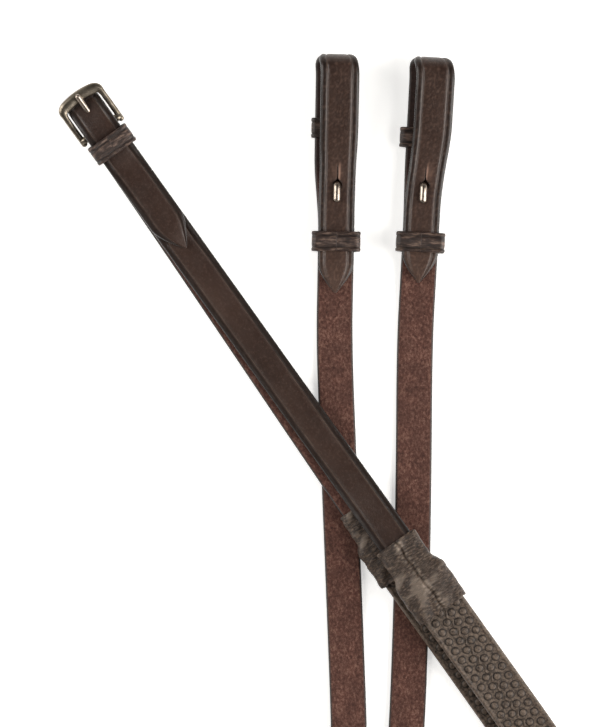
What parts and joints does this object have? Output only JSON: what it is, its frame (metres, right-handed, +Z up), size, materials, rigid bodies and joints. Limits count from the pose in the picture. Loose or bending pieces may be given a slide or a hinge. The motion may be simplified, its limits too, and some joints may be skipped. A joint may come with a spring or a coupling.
{
  "type": "leather reins",
  "caption": "Pair of leather bridle reins with a centre buckle, pimpled rubber hand grips and hook-stud bit ends, lying flat.",
  "frame": {"origin": "middle of the laid-out reins' outline, on the surface they lie on", "axes": "+Z up from the surface, +Y along the laid-out length towards the bit ends, +X to the right seen from above"},
  "size_m": [0.2442, 0.6136, 0.0252],
  "materials": {
    "strap_leather": "dark brown bridle leather, waxed grain side and suede flesh side",
    "keeper_leather": "dark brown bridle leather, creased edges",
    "wrap_leather": "soft thin brown leather, gathered",
    "grip_rubber": "matt brown pimpled rubber",
    "buckle_metal": "dark antique nickel",
    "stud_metal": "worn antique nickel",
    "thread": "waxed dark brown thread"
  },
  "bodies": {
    "reins": {"left_strap_buckle_end": "strap_leather", "left_strap_hand_part": "strap_leather", "left_strap_bit_end": "strap_leather", "left_rubber_grip": "grip_rubber", "left_upper_wrap": "wrap_leather", "left_lower_wrap": "wrap_leather", "left_fixed_keeper": "keeper_leather", "left_hook_stud": "stud_metal", "left_stud_washer": "stud_metal", "right_strap_buckle_end": "strap_leather", "right_strap_hand_part": "strap_leather", "right_strap_bit_end": "strap_leather", "right_rubber_grip": "grip_rubber", "right_upper_wrap": "wrap_leather", "right_lower_wrap": "wrap_leather", "right_fixed_keeper": "keeper_leather", "right_hook_stud": "stud_metal", "right_stud_washer": "stud_metal", "buckle_keeper": "keeper_leather", "buckle_stitching": "thread"},
    "frame": {"buckle_frame": "buckle_metal"},
    "tongue": {"buckle_tongue": "buckle_metal"},
    "left_loop": {"left_running_loop": "keeper_leather"},
    "right_loop": {"right_running_loop": "keeper_leather"}
  },
  "joints": [
    {"name": "frame_pivot", "type": "hinge", "parent": "reins", "child": "frame", "pos_m": [-0.1037, 0.27335, 0.0081], "axis": [0.8141, 0.5807, 0], "range_deg": [0, 6]},
    {"name": "tongue_pivot", "type": "hinge", "parent": "frame", "child": "tongue", "pos_m": [-0.1037, 0.27335, 0.0081], "axis": [0.8141, 0.5807, 0], "range_deg": [0, 8]},
    {"name": "left_loop_slide", "type": "slide", "parent": "reins", "child": "left_loop", "axis": [0.0169, 0.9999, 0], "range_m": [-0.005, 0.018]},
    {"name": "right_loop_slide", "type": "slide", "parent": "reins", "child": "right_loop", "axis": [0.0523, 0.9986, 0], "range_m": [-0.0015, 0.022]}
  ]
}
